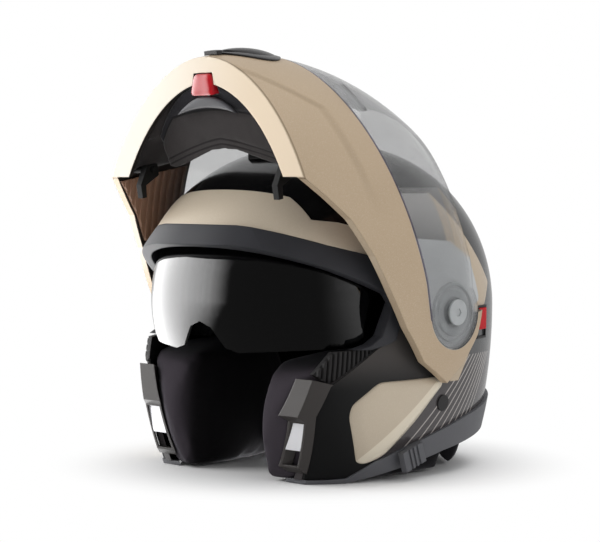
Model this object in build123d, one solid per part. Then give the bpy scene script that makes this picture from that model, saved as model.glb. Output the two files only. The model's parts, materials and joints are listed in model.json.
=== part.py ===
from build123d import *
from functools import lru_cache
import os

# Modular motorcycle helmet, in millimetres. The wearer looks along -Y, the wearer's left is +X and +Z is up.
# The origin lies on the ground at the middle of the helmet's length, and the chin bar's pivot axis runs along X.
# Pieces are drawn from the pivot axis, and each is moved back by origin_ahead when it is written.
# At rest the chin bar is raised with the face shield on it, and the sun visor is down.

# Outer shell
origin_ahead = 6
pivot_height = 122
shell_half_width = 121
shell_front = 147
shell_rear = 127
shell_crown = 125
shell_skirt = 220
shell_wall = 4
shell_fullness = 2.4

# Chin bar and face shield, which share one outer form
opening_angle = 80
chin_half_width = 137.5
chin_reach = 205
chin_back = 170
chin_rise = 222
chin_fall = 250
chin_drop = 91
chin_wall = 6.2
chin_fullness = 1.85
rim_width = 19
rim_thickness = 4
shield_thickness = 2.6
shield_pod_radius = 26.5
shield_gap = 0.8
recess_depth = 4.4
tab_ahead = 172
tab_length = 20
tab_height = 5
tab_proud = 5
curtain_inner_height = 42
curtain_thickness = 3
arm_rib_count = 10
arm_groove_share = 0.6

# Head space, foam liner and pads
head_half_width = 84
head_front = 118
head_rear = 95
head_top = 92
head_bottom = 150
liner_base_height = 95
liner_split_height = 150
pad_thickness = 9
pad_gap = 0.4
pad_seat_depth = 0.5
channel_width = 7
channel_depth = 4
channel_pitch = 24
channel_pairs = 2
crown_pad_base = 145
pad_centre_x = 63
pad_centre_ahead = 44

# Trims and covers on the shell
band_proud = 1.2
gasket_proud = 5
gasket_depth = 3.8
gasket_shield_gap = 0.8
cover_proud = 1.4
panel_proud = 2.6
trim_proud = 2.8
trim_lip = 5
trim_shell_overlap = 3

# Neck roll
roll_half_height = 22
roll_half_depth = 12
roll_half_width = 84
roll_start_y = 46
roll_rear_y = 94

# Latch posts
guide_proud = 3
guide_depth = 9
striker_thickness = 1.5
striker_low = 25
striker_high = 45
striker_inset = 1.5
pocket_low = 13.5
pocket_high = 25
pocket_depth = 6.3
pocket_margin = 3
grille_proud = 0.6
grille_wall = 2.4
grille_rib_count = 12
grille_rib_share = 0.5

# Sun visor
visor_axis_ahead = 25
visor_axis_above = 5
visor_radius = 105
visor_half_width = 112
visor_end_share = 0.94
visor_thickness = 2.2
visor_clearance = 1.5
visor_pin_radius = 4
visor_pin_fit = 0.05
visor_lever_length = 22
visor_lever_height = 15
visor_lever_thickness = 5
visor_lever_groove_count = 3

# Pivots
plate_radius = 27
plate_thickness = 2.5
collar_radius = 14
hub_radius = 9
spindle_radius = 7
hub_fit = 0.05
running_gap = 0.4
screw_head_radius = 9.5
screw_head_thickness = 1.6
screw_hex_radius = 3.2
screw_hex_depth = 0.9
ratchet_outer_radius = 22
ratchet_inner_radius = 11
ratchet_thickness = 0.8
ratchet_slot_width = 2.4

# Release button, latch hooks and lock slider
button_outer_half_width = 9.5
button_inner_half_width = 13
button_outer_margin = 12
button_inner_margin = 28
button_height = 12
button_proud = 1.2
button_travel = 4
button_clearance = 0.4
hook_inner_x = 71
hook_thickness = 5.5
hook_pin_ahead = 122
hook_pin_height = 29
hook_pin_radius = 2.5
hook_pin_fit = 0.05
hook_bay_radius = 22
lock_height = 16
lock_width = 12
lock_proud = 2.2
lock_travel = 5
lock_ahead = -53
lock_above = -8
lock_frame = 2
lock_frame_proud = 1.4

# Vents
chin_vent_proud = 4.5
chin_vent_mouth_half_width = 19
chin_vent_mouth_height = 9
chin_slider_half_width = 7
chin_slider_height = 5
chin_slider_thickness = 3.6
top_vent_proud = 5.5
top_vent_half_width = 27
top_vent_length = 62
top_vent_ahead = 34
top_vent_tail_share = 0.6
rear_vent_tail_share = 0.8
vent_slider_half_width = 9
vent_slider_length = 12
vent_slider_proud = 2.4
vent_slider_pit = 2
vent_slider_travel = 6
vent_gap = 0.3
rear_vent_proud = 7
rear_vent_half_width = 42
rear_vent_low = 160
rear_vent_high = 190
rear_vent_slot_height = 5
rear_vent_slot_count = 3

# Chin strap, with a ratchet buckle
strap_width = 22
strap_thickness = 2
strap_y = -12
strap_anchor_x = 108
strap_anchor_height = 62
strap_turn_x = 60
strap_turn_height = 34
strap_low_height = 12
strap_low_x = 44
strap_bend_radius = 12
strap_slot_depth = 4
buckle_length = 46
buckle_width = 28
buckle_x = -4
lever_length = 30
lever_thickness = 4
anchor_radius = 7
anchor_thickness = 2.5
buckle_wall = 1.5
buckle_fit = 0.2
strap_insert = 14
lever_pin_radius = 1.2
lever_pin_fit = 0.05
ear_length = 6

# Small sizes that cuts and plugs share
overrun = 400
plug_radius = 6
plug_ahead = -5
plug_height = 54
plug_proud = 1.2

# Outlines seen from the side: shares of shell_front ahead of the pivot axis and of pivot_height above the ground.
FACE_SHARES = (
    (1.361, 1.557), (0.871, 1.525), (0.619, 1.41), (0.408, 1.336), (0.299, 1.23), (0.279, 1.098), (0.34, 0.852),
    (0.422, 0.803), (0.646, 0.59), (0.694, 0.41), (0.68, 0.197), (0.667, -0.082), (0.667, -0.492), (1.361, -0.492),
)
GASKET_BORE_SHARES = (
    (1.361, 1.426), (0.918, 1.402), (0.646, 1.27), (0.381, 1.123), (0.354, 1.074), (0.422, 0.877), (0.476, 0.828),
    (1.361, 0.492),
)
GASKET_REACH_SHARES = ((1.361, 1.639), (0, 1.639), (0, 0.84), (0.35, 0.84), (0.476, 0.8), (1.361, 0.8))
BAND_SHARES = (
    (1.361, 1.557), (0.871, 1.525), (0.619, 1.41), (0.408, 1.336), (0.299, 1.25), (0.204, 1.336), (0.204, 1.41),
    (0.537, 1.541), (0.639, 1.557), (0.646, 1.689), (0.748, 1.754), (1.361, 1.754),
)
COVER_SHARES = (
    (0.667, 0.03), (0.68, 0.197), (0.694, 0.41), (0.646, 0.59), (0.422, 0.803), (0.34, 0.852), (0.299, 0.918),
    (0.082, 0.918), (0.041, 0.639), (0.014, 0.557), (0.109, 0.459), (0.231, 0.311), (0.381, 0.123), (0.503, 0.03),
)
PANEL_SHARES = (
    (0.449, 0.607), (0.075, 0.615), (0.012, 0.574), (0.109, 0.467), (0.218, 0.33), (0.381, 0.145), (0.463, 0.11),
    (0.51, 0.12), (0.585, 0.402), (0.578, 0.475),
)
GUIDE_SHARES = (
    (0.639, 0.6), (0.728, 0.631), (0.762, 0.41), (0.728, 0.377), (0.707, 0.098), (0.668, 0.06), (0.68, 0.197),
    (0.694, 0.41), (0.65, 0.59),
)
GUARD_SHARES = (
    (0.664, -0.2), (0.676, 0.197), (0.69, 0.41), (0.646, 0.585), (0.63, 0.64), (1.36, 0.64), (1.36, -0.2),
)
GRILLE_SHARES = ((0.55, 0.673), (0.442, 0.77), (0.45, 0.8), (0.63, 0.79), (0.7, 0.66), (0.646, 0.6))
TRIM_TOP_SHARES = (
    (0.665, 0.02), (0.503, 0.03), (0.381, 0.123), (0.197, 0.2), (0, 0.27), (-0.231, 0.34), (-0.918, 0.5),
)
TRIM_LOW_SHARES = ((0.665, 0), (0.503, 0), (0.401, 0.025), (0.184, 0.082), (-0.068, 0.148), (-0.918, 0.295))
PAD_SHARES = (
    (0.74, 0), (0.79, 0.12), (0.8, 0.3), (0.77, 0.5), (0.7, 0.66), (0.6, 0.73), (0.3, 0.76), (-0.05, 0.76),
    (-0.2, 0.6), (-0.24, 0.3), (-0.15, 0),
)
LINER_FACE_SHARES = (
    (1.4, 1.5), (0.84, 1.47), (0.56, 1.36), (0.36, 1.28), (0.24, 1.1), (0.3, 0.8), (0.42, 0.6), (0.42, -0.5),
    (1.4, -0.5),
)

# Outlines of the closed chin bar: shares of chin_reach ahead of the pivot axis and of pivot_height above it.
ARM_SHARES = (
    (0.58, -0.877), (0.502, -0.779), (0.41, -0.67), (0.273, -0.582), (0.137, -0.516), (0.005, -0.443),
    (-0.137, -0.32), (-0.249, -0.09), (-0.2, 0.049), (-0.112, 0.213), (0.015, 0.32), (0.146, 0.295), (0.244, 0.098),
    (0.293, -0.23), (1.122, -0.23), (1.122, -0.713),
)
RIM_SHARES = ((0.58, -0.877), (1.122, -0.713))
# Half of the wind curtain's outline from above: shares of chin_half_width across and of chin_reach ahead.
CURTAIN_SHARES = (
    (0, 0.659), (0.102, 0.654), (0.218, 0.629), (0.327, 0.607), (0.436, 0.59), (0.487, 0.6), (0.487, 0.722),
    (0.909, 0.722), (0.909, 1.122),
)
CHIN_LINER_SHARES = ((0.577, -0.83), (1.122, -0.664), (1.122, -0.25), (0.577, -0.25))
ARM_COVER_SHARES = ((0.56, -0.84), (0.502, -0.76), (0.41, -0.65), (0.3, -0.57), (0.33, -0.27), (0.56, -0.27))
SHIELD_SHARES = (
    (1.122, 0.705), (0.732, 0.541), (0.478, 0.352), (0.317, 0.27), (0.151, 0.238), (0.063, 0.189), (0, 0.1),
)
RECESS_SHARES = ((0, -0.23), (0.341, -0.23), (0.341, 0.492), (-0.029, 0.492), (-0.029, 0.164))
CHIN_VENT_SHARES = ((0.24, -0.25), (0.14, -0.6), (0.06, -0.64), (-0.06, -0.64), (-0.14, -0.6), (-0.24, -0.25))
SUN_VISOR_SHARES = (
    (0.06, -0.05), (0.13, -0.1), (0.34, -0.2), (0.49, -0.24), (1.2, -0.3), (1.2, 0.45), (0.48, 0.44), (0.29, 0.33),
    (0.14, 0.16), (0.06, 0.1),
)
# The space that the sun visor sweeps, as shares of shell_front and of pivot_height above the pivot axis.
STOW_SHARES = (
    (0.03, -0.09), (0.03, 0.03), (0.04, 0.36), (0.11, 0.66), (0.34, 1.05), (1.1, 1.05), (1.1, -0.38),
    (0.34, -0.25), (0.2, -0.19), (0.1, -0.16),
)
# The nose notch, as shares of visor_half_width across and of pivot_height above the ground.
NOTCH_SHARES = (
    (-1.2, 0.83), (-0.8, 0.8), (-0.3, 0.765), (-0.2, 0.79), (-0.1, 0.91), (0, 0.945), (0.1, 0.91), (0.2, 0.79),
    (0.3, 0.765), (0.8, 0.8), (1.2, 0.83),
)
HOOK_SHARES = (
    (0.84, 0.53), (0.925, 0.53), (1.033, 0.83), (1.033, 1.18), (0.96, 1.18), (0.915, 0.7), (0.84, 0.67),
)
PAD_SECTION_SHARES = (
    (0.72, 0.8), (0.58, 0.79), (0.46, 0.68), (0.44, 0.4), (0.54, 0.1), (0.72, -0.14), (1.0, -0.24), (1.45, -0.24),
    (1.5, 0.3), (1.2, 0.66), (0.95, 0.77),
)
# Levels up the cheek pad, as shares of its height, and how far its section is drawn in there.
PAD_LEVEL_SHARES = ((-0.1, 0.9), (0.15, 0.98), (0.45, 1), (0.75, 0.94), (1, 0.8))
STATION_SHARES = (0, 0.3, 0.55, 0.75, 0.88, 0.95, 0.985)

pivot_y = 0
shell_side = STATION_SHARES[-1] * shell_half_width
arm_side = STATION_SHARES[-1] * chin_half_width


def stations():
    """Shares of the half width at which the forms have a section, from the right side to the left."""
    return [-share for share in reversed(STATION_SHARES[1:])] + list(STATION_SHARES)


def form(half_width, front, rear, top, bottom, drop, fullness):
    """A smooth solid through sections of four elliptical quarters, which shrink toward the pivot axis."""
    sections = []
    for share in stations():
        taper = (1 - abs(share) ** fullness) ** (1 / fullness)
        plane = Plane(
            origin=(share * half_width, pivot_y, pivot_height - drop * taper), x_dir=(0, 1, 0), z_dir=(1, 0, 0)
        )
        quarters = ((rear, top, 0), (front, top, 90), (front, bottom, 180), (rear, bottom, 270))
        edges = [Edge.make_ellipse(a * taper, b * taper, plane, turn, turn + 90) for a, b, turn in quarters]
        sections.append(Wire(edges))
    return Solid.make_loft(sections)


@lru_cache(maxsize=None)
def shell_form(inset):
    """The outer shell's form, made smaller all round by the inset."""
    sizes = (shell_half_width, shell_front, shell_rear, shell_crown, shell_skirt)
    return form(*(size - inset for size in sizes), 0, shell_fullness)


@lru_cache(maxsize=None)
def chin_form(inset):
    """The form that the chin bar and face shield share when closed, made smaller all round by the inset."""
    sizes = (chin_half_width, chin_reach, chin_back, chin_rise, chin_fall)
    return form(*(size - inset for size in sizes), chin_drop, chin_fullness)


@lru_cache(maxsize=None)
def head_form(inset):
    """The space for the head, made smaller all round by the inset."""
    sizes = (head_half_width, head_front, head_rear, head_top, head_bottom)
    return form(*(size - inset for size in sizes), 0, shell_fullness)


def layer(make_form, outer, inner):
    """The wall between two insets of one form; a negative inset stands proud of it."""
    return make_form(outer) - make_form(inner)


def shell_points(shares, lift=0):
    return [(-ahead * shell_front, up * pivot_height + lift) for ahead, up in shares]


def chin_points(shares, lift=0):
    return [(-ahead * chin_reach, pivot_height + up * pivot_height + lift) for ahead, up in shares]


def side_prism(points):
    """A prism across the whole width through a side outline given as (Y, Z) points."""
    return extrude(Plane.YZ * Polygon(*points, align=None), overrun, both=True)


def front_prism(points, ahead_only=True):
    """A prism along Y through a front outline given as (X, Z) points, in the front half or the rear half."""
    direction = (0, -1, 0) if ahead_only else (0, 1, 0)
    return extrude(Plane.XZ * Polygon(*points, align=None), overrun, dir=direction)


def slab(x0, x1, y0, y1, z0, z1):
    """A block between two opposite corners."""
    return Pos((x0 + x1) / 2, (y0 + y1) / 2, (z0 + z1) / 2) * Box(x1 - x0, y1 - y0, z1 - z0)


def disc(radius, x0, x1, y=pivot_y, z=pivot_height):
    """A round piece on an axis along X between two stations."""
    return Pos((x0 + x1) / 2, y, z) * Rot(0, 90, 0) * Cylinder(radius, x1 - x0)


def left_half():
    return slab(0, overrun, -overrun, overrun, -overrun, overrun)


def mirrored(piece):
    return mirror(piece, about=Plane.YZ)


def raised(piece):
    """Turns a piece of the closed chin bar about the pivot axis to where it rests."""
    return Pos(0, pivot_y, pivot_height) * Rot(-opening_angle, 0, 0) * Pos(0, -pivot_y, -pivot_height) * piece


def save(name, piece):
    """Writes one node from the origin; only solids are kept, and several of them stay separate."""
    solids = (Pos(0, origin_ahead, 0) * piece).solids()
    export_step(solids[0] if len(solids) == 1 else Compound(children=list(solids)), f"parts/{name}.step")


def save_pair(name, left):
    save(f"{name}_left", left)
    save(f"{name}_right", mirrored(left))


def below_line(points):
    """Everything under a side line that runs from the front to the rear."""
    rear_end = (overrun, points[-1][1])
    front_end = (-overrun, points[0][1])
    return side_prism([front_end] + points + [rear_end, (overrun, -overrun), (-overrun, -overrun)])


def outer_shell():
    """The moulded shell, open at the face and at the neck."""
    wall = layer(shell_form, 0, shell_wall)
    edge = below_line(shell_points(TRIM_LOW_SHARES, trim_shell_overlap))
    return wall - side_prism(shell_points(FACE_SHARES)) - edge


def forehead_band():
    """The coloured plate across the forehead above the eye port."""
    return layer(shell_form, -band_proud, 0) & side_prism(shell_points(BAND_SHARES))


def eye_port_gasket():
    """The rubber section round the eye port, which grips the shell's edge and meets the shut face shield."""
    ring = layer(shell_form, -gasket_proud, gasket_depth) & side_prism(shell_points(FACE_SHARES))
    ring = ring & side_prism(shell_points(GASKET_REACH_SHARES)) & chin_form(shield_thickness + gasket_shield_gap)
    return ring - side_prism(shell_points(GASKET_BORE_SHARES))


def cheek_cover():
    """The dark moulding over the left front of the shell, under the coloured panel."""
    cover = layer(shell_form, -cover_proud, 0) & side_prism(shell_points(COVER_SHARES))
    return (cover & left_half()) - disc(plate_radius, shell_side, shell_half_width + cover_proud)


def side_panel():
    """The coloured panel that carries on the line of the closed chin bar."""
    panel = layer(shell_form, -panel_proud, -cover_proud) & side_prism(shell_points(PANEL_SHARES))
    return panel & left_half()


def latch_guide():
    """The post at the front of the left cheek, with the pocket that the latch hook enters."""
    post = layer(shell_form, -guide_proud, guide_depth) & side_prism(shell_points(GUIDE_SHARES)) & left_half()
    post = post & side_prism(shell_points(FACE_SHARES))
    front_y = -GUIDE_SHARES[4][0] * shell_front
    pocket = slab(0, overrun, -overrun, front_y + pocket_depth, pocket_low, pocket_high)
    pocket = pocket & layer(shell_form, -guide_proud + pocket_margin / 2, guide_depth - pocket_margin / 2)
    return post - pocket - striker_space()


def striker_space():
    """The seat of the striker plate in the post's front face."""
    front_y = -GUIDE_SHARES[4][0] * shell_front
    block = slab(0, overrun, -overrun, front_y + striker_thickness, striker_low, striker_high)
    return block & layer(shell_form, -guide_proud + striker_inset, guide_depth - striker_inset)


def striker_plate():
    """The polished plate on the post that the hook slides over."""
    front_y = -GUIDE_SHARES[4][0] * shell_front
    block = slab(0, overrun, front_y - striker_thickness, front_y + striker_thickness, striker_low, striker_high)
    return block & layer(shell_form, -guide_proud + striker_inset, guide_depth - striker_inset)


def cheek_grille():
    """The ribbed strip above the cheek, behind the post."""
    outline = side_prism(shell_points(GRILLE_SHARES)) & side_prism(shell_points(FACE_SHARES)) & left_half()
    base = layer(shell_form, grille_wall, grille_wall + grille_wall) & outline
    points = shell_points(GRILLE_SHARES)
    start_y = min(point[0] for point in points)
    pitch = (max(point[0] for point in points) - start_y) / grille_rib_count
    ribs = layer(shell_form, grille_proud, grille_wall) & outline
    for number in range(grille_rib_count):
        y = start_y + number * pitch
        ribs = ribs - slab(0, overrun, y, y + pitch * grille_rib_share, 0, overrun)
    return base + ribs


def base_trim():
    """The edge strip round the bottom of the shell, deeper at the rear."""
    low = shell_points(TRIM_LOW_SHARES)
    high = shell_points(TRIM_TOP_SHARES)
    seat = shell_points(TRIM_LOW_SHARES, trim_shell_overlap)
    skirt = layer(shell_form, -trim_proud, 0) & side_prism(low + high[::-1])
    lip = layer(shell_form, -trim_proud, shell_wall + trim_lip) & side_prism(low + seat[::-1])
    return skirt + lip


@lru_cache(maxsize=None)
def impact_foam():
    """The impact foam between the shell and the head, hollowed for the stowed sun visor."""
    foam = shell_form(shell_wall) - head_form(0) - side_prism(shell_points(LINER_FACE_SHARES))
    stow = side_prism([(-a * shell_front, pivot_height + b * pivot_height) for a, b in STOW_SHARES])
    foam = foam - (stow - visor_barrel(visor_thickness + visor_clearance))
    return foam - slab(-overrun, overrun, -overrun, overrun, -overrun, liner_base_height)


def eps_liner():
    """The foam over the crown."""
    return impact_foam() & slab(-overrun, overrun, -overrun, overrun, liner_split_height, overrun)


def eps_side_ring():
    """The foam round the sides and the back of the head, glued under the crown foam."""
    return impact_foam() - slab(-overrun, overrun, -overrun, overrun, liner_split_height, overrun)


def crown_pad():
    """The comfort pad over the head, with sewn channels from front to back."""
    pad = layer(head_form, pad_gap, pad_thickness)
    pad = pad - side_prism(shell_points(LINER_FACE_SHARES))
    pad = pad - slab(-overrun, overrun, -overrun, overrun, -overrun, crown_pad_base)
    groove = layer(head_form, pad_thickness - channel_depth, pad_thickness)
    for number in range(-channel_pairs, channel_pairs + 1):
        x = number * channel_pitch
        strip = slab(x - channel_width / 2, x + channel_width / 2, -overrun, overrun, 0, overrun)
        pad = pad - (groove & strip)
    return pad


def cheek_pad():
    """The left cheek pad: full in the middle, drawn in at the top and the edges, flat where it stands."""
    height = PAD_SHARES[6][1] * pivot_height
    sections = []
    centre = Vector(pad_centre_x, -pad_centre_ahead, 0)
    for level, draw in PAD_LEVEL_SHARES:
        points = []
        for across, ahead in PAD_SECTION_SHARES:
            point = Vector(across * head_half_width, -ahead * shell_front, 0)
            point = centre + (point - centre) * draw
            points.append((point.X, point.Y, level * height))
        sections.append(Wire(Edge.make_spline([Vector(*point) for point in points], periodic=True)))
    pad = Solid.make_loft(sections) & side_prism(shell_points(PAD_SHARES))
    pad = pad & shell_form(2 * grille_wall + pad_gap)
    guard = layer(shell_form, -guide_proud, guide_depth + pad_gap) & side_prism(shell_points(GUARD_SHARES))
    lip = layer(shell_form, -trim_proud, shell_wall + trim_lip + pad_gap)
    lip = lip & side_prism(shell_points(TRIM_LOW_SHARES, -pad_gap) + shell_points(
        TRIM_LOW_SHARES, trim_shell_overlap + pad_gap)[::-1])
    return pad - guard - lip


def visor_barrel(inset):
    """The round form about the sun visor's hinge axis that the visor is cut from."""
    radius = visor_radius - inset
    half_width = visor_half_width - inset
    points = []
    for share in stations():
        if abs(share) <= visor_end_share:
            taper = (1 - abs(share) ** shell_fullness) ** (1 / shell_fullness)
            points.append((share * half_width, radius * taper))
    taper = (1 - visor_end_share ** shell_fullness) ** (1 / shell_fullness)
    end = visor_end_share * half_width
    points = [(-end, radius * taper)] + points + [(end, radius * taper)]
    plane = Plane(
        origin=(0, -visor_axis_ahead, pivot_height + visor_axis_above), x_dir=(1, 0, 0), z_dir=(0, -1, 0)
    )
    curve = Spline(*points)
    closing = Polyline((end, radius * taper), (end, 0), (-end, 0), (-end, radius * taper))
    return revolve(plane * make_face(curve + closing), Axis(plane.origin, (1, 0, 0)))


def axis_disc(radius, x0, x1):
    """A round piece on the sun visor's hinge axis."""
    return disc(radius, x0, x1, -visor_axis_ahead, pivot_height + visor_axis_above)


def sun_visor():
    """The tinted inner visor, in its lowered position, with an arm to its hinge on each side."""
    wall = visor_barrel(0) - visor_barrel(visor_thickness)
    side = [(-a * shell_front, pivot_height + b * pivot_height) for a, b in SUN_VISOR_SHARES]
    notch = [(a * visor_half_width, b * pivot_height) for a, b in NOTCH_SHARES]
    notch = notch + [(2 * visor_half_width, -overrun), (-2 * visor_half_width, -overrun)]
    end = visor_end_share * visor_half_width
    return wall & side_prism(side) - front_prism(notch) - axis_disc(visor_pin_radius, -end, end)


def visor_pins():
    """The two pins in the shell's sides that the sun visor turns on."""
    inner = visor_end_share * (visor_half_width - visor_thickness) - running_gap
    pin = axis_disc(visor_pin_radius - visor_pin_fit, inner, shell_half_width) & shell_form(shell_wall)
    return pair(pin)


def trim_face_x(y, z):
    """How far to the side the trim's outer face reaches under the lever."""
    probe = Pos(0, y, z) * Box(2 * overrun, visor_lever_length, visor_lever_height)
    return (shell_form(-trim_proud) & probe).bounding_box().max.X


def visor_lever():
    """The slider on the left edge trim that works the sun visor."""
    y = -TRIM_TOP_SHARES[3][0] * shell_front
    z = (TRIM_TOP_SHARES[3][1] + TRIM_LOW_SHARES[3][1]) / 2 * pivot_height
    x = trim_face_x(y, z) + running_gap
    slope = lever_slope()
    block = Box(visor_lever_thickness, visor_lever_length, visor_lever_height)
    grips = Part()
    pitch = visor_lever_length / (visor_lever_groove_count + 2)
    for number in range(-(visor_lever_groove_count // 2), visor_lever_groove_count // 2 + 1):
        notch = Pos(visor_lever_thickness / 2, number * pitch, 0) * Box(
            visor_lever_thickness / 2, pitch / 2, visor_lever_height)
        grips = grips + notch
    block = block - grips
    return Pos(x + visor_lever_thickness / 2, y, z) * Rot(slope, 0, 0) * block


def lever_slope():
    """The slope in degrees of the trim where the lever runs."""
    (a0, b0), (a1, b1) = TRIM_TOP_SHARES[2], TRIM_TOP_SHARES[4]
    run = Vector((a0 - a1) * shell_front, (b1 - b0) * pivot_height, 0)
    return run.get_angle(Vector(1, 0, 0))


def pivot_plate():
    """The mechanism plate on the flat side of the shell."""
    plate = disc(plate_radius, shell_side, shell_side + plate_thickness)
    return plate - disc(hub_radius, shell_side, shell_side + plate_thickness)


def pivot_hub():
    """The stepped hub that carries the chin bar's arm and the face shield's pod."""
    floor = STATION_SHARES[-1] * (chin_half_width - chin_wall)
    pod_inner = STATION_SHARES[-1] * (chin_half_width - shield_thickness)
    hub = disc(hub_radius - hub_fit, shell_side, pod_inner - running_gap)
    hub = hub + disc(collar_radius, shell_side + plate_thickness, floor - running_gap)
    return hub + disc(spindle_radius - hub_fit, shell_side, arm_side + running_gap)


def pivot_screws():
    """The hexagon screws that close both pivots."""
    x0 = arm_side + running_gap
    head = disc(screw_head_radius, x0, x0 + screw_head_thickness)
    hexagon = extrude(
        Plane(origin=(x0 + screw_head_thickness, pivot_y, pivot_height), x_dir=(0, 1, 0), z_dir=(-1, 0, 0))
        * RegularPolygon(screw_hex_radius, 6), screw_hex_depth)
    head = head - hexagon
    return pair(head)


def chin_bar_shell():
    """The painted chin bar with its two arms, rim flange, pod recesses and openings, as closed."""
    wall = layer(chin_form, 0, chin_wall) & side_prism(chin_points(ARM_SHARES))
    body = wall + (layer(chin_form, 0, rim_width) & rim_slope_prism(0, rim_thickness))
    recess = side_prism(chin_points(RECESS_SHARES)) + disc(shield_pod_radius + shield_gap, -overrun, overrun)
    body = body - (recess - chin_form(recess_depth)) - disc(hub_radius, -overrun, overrun)
    return body - button_block(button_clearance) - vent_mouth(overrun)


def button_block(clearance):
    """The release button's outline, grown by a clearance, from below the rim to above its travel."""
    outer = -chin_reach + button_outer_margin - clearance
    inner = -chin_reach + button_inner_margin + clearance
    wide = button_inner_half_width + clearance
    slim = button_outer_half_width + clearance
    rim_z = pivot_height + RIM_SHARES[1][1] * pivot_height
    plane = Plane(origin=(0, 0, rim_z - button_height), x_dir=(1, 0, 0), z_dir=(0, 0, 1))
    outline = plane * Polygon((-slim, outer), (slim, outer), (wide, inner), (-wide, inner), align=None)
    return extrude(outline, 2 * button_height)


def rim_height(y):
    """How high the rim's plane, which rises toward the front, lies at a place along Y."""
    (ahead_0, up_0), (ahead_1, up_1) = RIM_SHARES
    share = (-y / chin_reach - ahead_0) / (ahead_1 - ahead_0)
    return pivot_height * (1 + up_0 + share * (up_1 - up_0))


def rim_slope_prism(below, above):
    """The band between two levels measured from the rim's plane."""
    rim = [(-a * chin_reach, pivot_height + b * pivot_height) for a, b in RIM_SHARES]
    low = [(y, z - below) for y, z in rim]
    return side_prism(low + [(y, z + above) for y, z in rim[::-1]])


def release_button():
    """The coloured button in the middle of the rim that frees both latch hooks."""
    return button_block(0) & rim_slope_prism(button_proud, button_height - button_travel)


def vent_mouth(depth):
    """The chin vent's air slot through the chin bar."""
    z = pivot_height + (CHIN_VENT_SHARES[0][1] + CHIN_VENT_SHARES[1][1]) / 2 * pivot_height
    half = chin_vent_mouth_height / 2
    return slab(
        -chin_vent_mouth_half_width, chin_vent_mouth_half_width, -depth, -head_front, z - half, z + half)


def vent_points():
    return [(a * chin_half_width, pivot_height + b * pivot_height) for a, b in CHIN_VENT_SHARES]


def chin_vent():
    """The scoop over the air slot in the chin."""
    scoop = layer(chin_form, -chin_vent_proud, 0) & front_prism(vent_points())
    return scoop - vent_mouth(overrun)


def chin_vent_slider():
    """The small slider under the scoop that opens and shuts the vent."""
    z = pivot_height + CHIN_VENT_SHARES[2][1] * pivot_height - running_gap
    half = chin_slider_half_width
    block = slab(-half, half, -overrun, 0, z - chin_slider_height, z)
    return block & layer(chin_form, -chin_slider_thickness, -running_gap)


def chin_liner():
    """The padded lining inside the chin bar."""
    lining = layer(chin_form, chin_wall, rim_width) & side_prism(chin_points(CHIN_LINER_SHARES))
    lining = lining - vent_mouth(overrun) - hook_disc(hook_pin_radius, -overrun, overrun)
    bay = hook_disc(hook_bay_radius, hook_inner_x - running_gap, hook_inner_x + hook_thickness + running_gap)
    return lining - bay - mirrored(bay) - button_block(button_clearance)


def chin_curtain():
    """The wind curtain under the wearer's chin, from the rim's inner edge to a free edge further in."""
    front_y = -chin_reach + rim_width
    rear_y = -RIM_SHARES[0][0] * chin_reach
    front_z = rim_height(front_y)
    low = [(front_y, front_z), (rear_y, curtain_inner_height)]
    sheet = side_prism(low + [(y, z + curtain_thickness) for y, z in low[::-1]])
    left = [(across * chin_half_width, -ahead * chin_reach) for across, ahead in CURTAIN_SHARES]
    right = [(-x, y) for x, y in left[:0:-1]]
    outline = extrude(Plane.XY * Polygon(*left, *right, align=None), overrun, dir=(0, 0, 1))
    return (sheet & outline & chin_form(rim_width)) - button_block(button_clearance)


def arm_cover():
    """The ribbed inner cover of the left arm."""
    outline = side_prism(chin_points(ARM_COVER_SHARES)) & left_half()
    cover = layer(chin_form, chin_wall, chin_wall + cover_proud) & outline
    ribs = layer(chin_form, chin_wall + cover_proud, chin_wall + 2 * cover_proud) & outline
    points = chin_points(ARM_COVER_SHARES)
    start = min(point[1] for point in points)
    pitch = (max(point[1] for point in points) - start) / arm_rib_count
    for number in range(arm_rib_count):
        z = start + number * pitch
        ribs = ribs - slab(0, overrun, -overrun, overrun, z, z + arm_groove_share * pitch)
    return cover + ribs


def latch_hook():
    """The left hook, which reaches under the striker plate when the chin bar is shut."""
    points = [(-a * hook_pin_ahead, b * hook_pin_height) for a, b in HOOK_SHARES]
    hook = extrude(Plane.YZ * Polygon(*points, align=None), hook_thickness, dir=(1, 0, 0))
    hook = Pos(hook_inner_x, 0, 0) * hook
    return hook - hook_disc(hook_pin_radius, 0, overrun)


def hook_disc(radius, x0, x1):
    return disc(radius, x0, x1, -hook_pin_ahead, hook_pin_height)


def hook_pins():
    """The pins in the chin bar's sides that the hooks turn on."""
    start = hook_inner_x - hook_pin_radius
    pin = hook_disc(hook_pin_radius - hook_pin_fit, start, chin_half_width) & chin_form(chin_wall)
    return pair(pin)


def shield_ratchet():
    """The grey detent plate under the face shield's pod."""
    floor = STATION_SHARES[-1] * (chin_half_width - recess_depth)
    plate = disc(ratchet_outer_radius, floor, floor + ratchet_thickness)
    plate = plate - disc(ratchet_inner_radius, floor, floor + ratchet_thickness)
    ring = disc(ratchet_outer_radius - ratchet_slot_width, floor, floor + ratchet_thickness)
    middle = ratchet_outer_radius - 2 * ratchet_slot_width
    ring = ring - disc(middle, floor, floor + ratchet_thickness)
    keep = slab(0, overrun, -overrun, overrun, pivot_height - middle, overrun)
    return plate - (ring & keep)


def face_shield():
    """The clear shield with a round pod at each pivot, as closed."""
    low = pivot_height - shield_pod_radius - shield_gap
    outline = side_prism([(-overrun, low)] + chin_points(SHIELD_SHARES) + [(0, low)])
    outline = outline + disc(shield_pod_radius, -overrun, overrun)
    return (layer(chin_form, 0, shield_thickness) & outline) - disc(spindle_radius, -overrun, overrun)


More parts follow.
